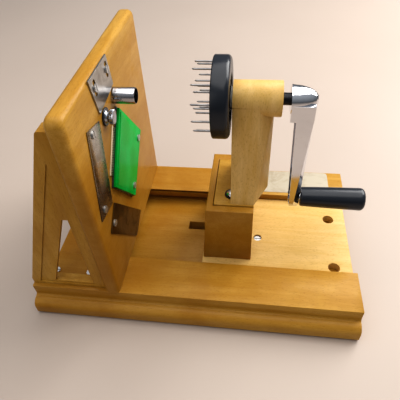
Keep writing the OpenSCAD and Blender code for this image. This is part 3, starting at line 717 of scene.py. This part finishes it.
class SLICER_OT_carriage(Making, bpy.types.Operator):
    """Slide board, block and post with its hub"""

    bl_idname = "slicer.carriage"
    bl_label = "Carriage"

    def execute(self, context):
        edge = wood().board_edge

        def long_edges(e):
            return sharp(e, 40) and e.calc_length() > 5 * MM

        softened("slide_board", edge, long_edges, beech("X", True))
        softened("carriage_block", edge, long_edges, beech("Y", painted_shade=BLOCK_PAINTED_SHADE))
        softened("post_plate", 0.5 * MM, long_edges, beech("X"))
        softened("stop_key", 0.5 * MM, long_edges, beech("Y"))
        post = merged_copy("spindle_post", "soft_spindle_post")
        low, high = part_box("spindle_post")
        round_edges(post, wood().post_edge, lambda e: sharp(e, 12) and e.calc_length() > 30 * MM
                    and middle(e).z < high.z - 20 * MM)
        round_edges(post, 0.5 * MM, lambda e: sharp(e, 60) and middle(e).x > high.x - 0.1 * MM, 2)
        smooth(post, 35)
        stand_for(post, "spindle_post", beech("Z", True))
        finish_node("post_bolt", finish("chrome_bolt", chrome_plate, (0.5, 0.5, 0.52), 0.08))
        finish_node("post_bolt_washer", finish(
            "dark_washer", turned_metal, (0.05, 0.045, 0.04), 0.4))
        finish_node("spindle_bushes", finish("bronze_bush", turned_metal, (0.5, 0.32, 0.12), 0.35))
        return {"FINISHED"}


class SLICER_OT_pin_disc(Making, bpy.types.Operator):
    """Turned black disc with its ring of steel pins"""

    bl_idname = "slicer.pin_disc"
    bl_label = "Pin disc"

    def execute(self, context):
        low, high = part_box("pin_disc")
        centre = axis_of(low, high)
        rim, edge, lip = (high.y - low.y) / 2, plastic().disc_edge, 1.2 * MM
        front = [(low.x + 0.8 * MM, rim * 0.2), (low.x + 0.8 * MM, rim * 0.93),
                 (low.x, rim * 0.95)]
        outline = front + arc((low.x + lip, rim - lip), lip, 180, 90) + arc(
            (high.x - edge, rim - edge), edge, 90, 0) + [
            (high.x, rim * 0.6), (high.x - 1.5 * MM, rim * 0.57), (high.x - 1.5 * MM, rim * 0.32),
            (high.x, rim * 0.29), (high.x, rim * 0.1)]
        disc = turned("turned_pin_disc", centre, outline, 96)
        smooth(disc, 30)
        stand_for(disc, "pin_disc", black_plastic())
        finish_node("holding_pins", finish("pin_steel", turned_metal, (0.36, 0.35, 0.35), 0.25))
        finish_node("disc_washer", finish(
            "white_nylon", moulded_plastic, (0.75, 0.74, 0.7), (0.62, 0.6, 0.55), 0.4))
        finish_node("spindle_shaft", finish(
            "blackened_rod", turned_metal, (0.03, 0.03, 0.035), 0.22, 0.6))
        return {"FINISHED"}


class SLICER_OT_crank(Making, bpy.types.Operator):
    """Chromed crank arm, its screw and the grip's axle"""

    bl_idname = "slicer.crank"
    bl_label = "Crank arm"

    def execute(self, context):
        plate = finish("chrome_arm", chrome_plate, tuple(metal().chrome))
        arm = merged_copy("crank_arm", "soft_crank_arm")
        low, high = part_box("crank_arm")
        for side in (-1, 1):
            self.bevel_foot(arm, low, high, side)
        round_edges(arm, metal().arm_edge, lambda e: sharp(e, 30) and e.calc_length() > 30 * MM, 4)
        round_edges(arm, 0.6 * MM, lambda e: sharp(e, 60) and e.calc_length() > 6 * MM, 2)
        smooth(arm, 30)
        stand_for(arm, "crank_arm", plate)
        finish_node("crank_screw", finish(
            "blackened_screw", turned_metal, (0.03, 0.03, 0.035), 0.22, 0.6))
        finish_node("grip_axle", plate)
        return {"FINISHED"}

    def bevel_foot(self, arm, low, high, side):
        """Slopes off one outer edge, more and more towards the grip."""
        nose, start, foot, deep = 3.7 * MM, 41 * MM, 10 * MM, 5 * MM
        foot_side, foot_face = 10.5 * MM, 5 * MM
        out = high.x - nose
        middle_y, half = (low.y + high.y) / 2, (high.y - low.y) / 2
        top = Vector((out, middle_y + side * half, high.z - start))
        inner = Vector((out - deep, middle_y + side * foot_side, low.z + foot))
        outer = Vector((out, middle_y + side * foot_face, low.z + foot))
        normal = (inner - top).cross(outer - top).normalized()
        if normal.x < 0:
            normal.negate()
        size = 0.2
        bpy.ops.object.select_all(action="DESELECT")
        bpy.ops.mesh.primitive_cube_add(
            size=size, location=top + normal * size / 2,
            rotation=normal.to_track_quat("Z", "Y").to_euler())
        cut(arm, bpy.context.active_object)


class SLICER_OT_grip(Making, bpy.types.Operator):
    """Turned black grip, slightly fatter at its rounded outer end"""

    bl_idname = "slicer.grip"
    bl_label = "Grip"

    def execute(self, context):
        low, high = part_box("crank_grip")
        centre = axis_of(low, high)
        big, end = (high.y - low.y) / 2, plastic().grip_end
        small = big - 1.6 * MM
        outline = [(low.x, small * 0.55)] + arc(
            (low.x + 1.5 * MM, small - 1.5 * MM), 1.5 * MM, 180, 90) + [
            (low.x + (high.x - low.x) * k / 8, small + (big - small) * k / 8 + math.sin(
                math.pi * k / 8) * 0.25 * MM) for k in range(1, 8)] + arc(
            (high.x - end, big - end), end, 90, 4, 10) + [(high.x, big * 0.2)]
        grip = turned("turned_crank_grip", centre, outline, 96)
        smooth(grip, 30)
        stand_for(grip, "crank_grip", black_plastic())
        return {"FINISHED"}


class SLICER_OT_label(Making, bpy.types.Operator):
    """Blank paper label on the far rail"""

    bl_idname = "slicer.label"
    bl_label = "Label"

    def execute(self, context):
        finish_node("maker_label", finish(
            "blank_label", worn_paper, (0.44, 0.39, 0.3), (0.27, 0.2, 0.12)))
        return {"FINISHED"}


class SLICER_OT_stage(Making, bpy.types.Operator):
    """Plain pale floor, soft studio light and the camera"""

    bl_idname = "slicer.stage"
    bl_label = "Floor, light and camera"

    def execute(self, context):
        self.lay_floor()
        self.light_room(context)
        self.place_camera(context)
        return {"FINISHED"}

    def lay_floor(self):
        bpy.ops.object.select_all(action="DESELECT")
        bpy.ops.mesh.primitive_plane_add(size=12, location=(0, 0, 0))
        floor = bpy.context.active_object
        floor.name = "studio_floor"
        g = Graph("pale_floor")
        shade = g.noise(g.place, 3.0, 3.0, 0.5)
        floor.data.materials.append(g.set(
            Base_Color=g.mix(shade, (0.42, 0.35, 0.3), (0.47, 0.4, 0.35)), Roughness=0.55))

    def light_room(self, context):
        room = bpy.data.worlds.new("soft_room")
        room.use_nodes = True
        tree = room.node_tree
        place = tree.nodes.new("ShaderNodeTexCoord")
        split = tree.nodes.new("ShaderNodeSeparateXYZ")
        ramp = tree.nodes.new("ShaderNodeValToRGB")
        tree.links.new(place.outputs["Generated"], split.inputs[0])
        tree.links.new(split.outputs["Z"], ramp.inputs["Fac"])
        ramp.color_ramp.elements[0].color = (*HORIZON, 1)
        ramp.color_ramp.elements[1].color = (*ZENITH, 1)
        tree.links.new(ramp.outputs["Color"], tree.nodes["Background"].inputs["Color"])
        context.scene.world = room
        for name, place, aim, size, power, tint in LAMPS:
            bpy.ops.object.light_add(type="AREA", location=place)
            lamp = bpy.context.active_object
            lamp.name = name
            lamp.data.size = size
            lamp.data.energy = power
            lamp.data.color = tint
            lamp.rotation_euler = (Vector(aim) - Vector(place)).to_track_quat("-Z", "Y").to_euler()
        context.scene.view_settings.view_transform = "Standard"
        context.scene.view_settings.look = "High Contrast"

    def place_camera(self, context):
        bpy.ops.object.camera_add()
        camera = bpy.context.active_object
        camera.name = "camera"
        camera.data.sensor_width = 36
        camera.data.lens = LENS
        right, up = (Vector(v).normalized() for v in (VIEW_RIGHT, VIEW_UP))
        back = right.cross(up).normalized()
        up = back.cross(right)
        turn = Matrix((right, up, back)).transposed().to_4x4()
        camera.matrix_world = Matrix.Translation(Vector(VIEWPOINT)) @ turn
        camera.data.clip_start, camera.data.clip_end = 0.01, 50
        context.scene.camera = camera


LENS = 36.74
VIEWPOINT = (0.0534, -0.3094, 0.3865)
VIEW_RIGHT = (0.99117, 0.12299, -0.04964)
VIEW_UP = (-0.0522, 0.70583, 0.70646)
HORIZON = (0.1, 0.105, 0.11)
ZENITH = (0.4, 0.42, 0.45)
LAMPS = (
    ("window", (0.9, 0.75, 0.95), (0.05, 0, 0.05), 1.1, 19, (1, 0.98, 0.95)),
    ("ceiling", (0.1, 0.1, 1.6), (0, 0, 0), 1.8, 16, (1, 0.97, 0.93)),
    ("fill", (-0.7, -1.1, 0.8), (0, 0, 0.1), 1.0, 2, (1, 0.96, 0.9)),
)
STEPS = (
    SLICER_OT_rails, SLICER_OT_panel, SLICER_OT_brackets, SLICER_OT_plates, SLICER_OT_knife,
    SLICER_OT_comb_knob, SLICER_OT_coring_tube, SLICER_OT_carriage, SLICER_OT_pin_disc,
    SLICER_OT_crank, SLICER_OT_grip, SLICER_OT_label, SLICER_OT_stage,
)


class SLICER_PT_looks(bpy.types.Panel):
    """The slicer's pieces, each with its sizes and colours"""

    bl_idname = "SLICER_PT_looks"
    bl_label = "Turning slicer"
    bl_space_type = "VIEW_3D"
    bl_region_type = "UI"
    bl_category = "Slicer"

    def draw(self, context):
        for title, group in (("Wood", wood()), ("Metal", metal()), ("Plastic", plastic())):
            box = self.layout.box()
            box.label(text=title)
            for key in group.__annotations__:
                box.prop(group, key)
        for step in STEPS:
            self.layout.operator(step.bl_idname)


GROUPS = {"slicer_wood": SlicerWood, "slicer_metal": SlicerMetal, "slicer_plastic": SlicerPlastic}


def register():
    for group in GROUPS.values():
        bpy.utils.register_class(group)
    for key, group in GROUPS.items():
        setattr(bpy.types.Scene, key, bpy.props.PointerProperty(type=group))
    for step in (*STEPS, SLICER_PT_looks):
        bpy.utils.register_class(step)


def unregister():
    for step in (*STEPS, SLICER_PT_looks):
        bpy.utils.unregister_class(step)
    for key in GROUPS:
        delattr(bpy.types.Scene, key)
    for group in GROUPS.values():
        bpy.utils.unregister_class(group)


def main():
    register()
    for step in STEPS:
        family, name = step.bl_idname.split(".")
        getattr(getattr(bpy.ops, family), name)()


if __name__ == "__main__":
    main()
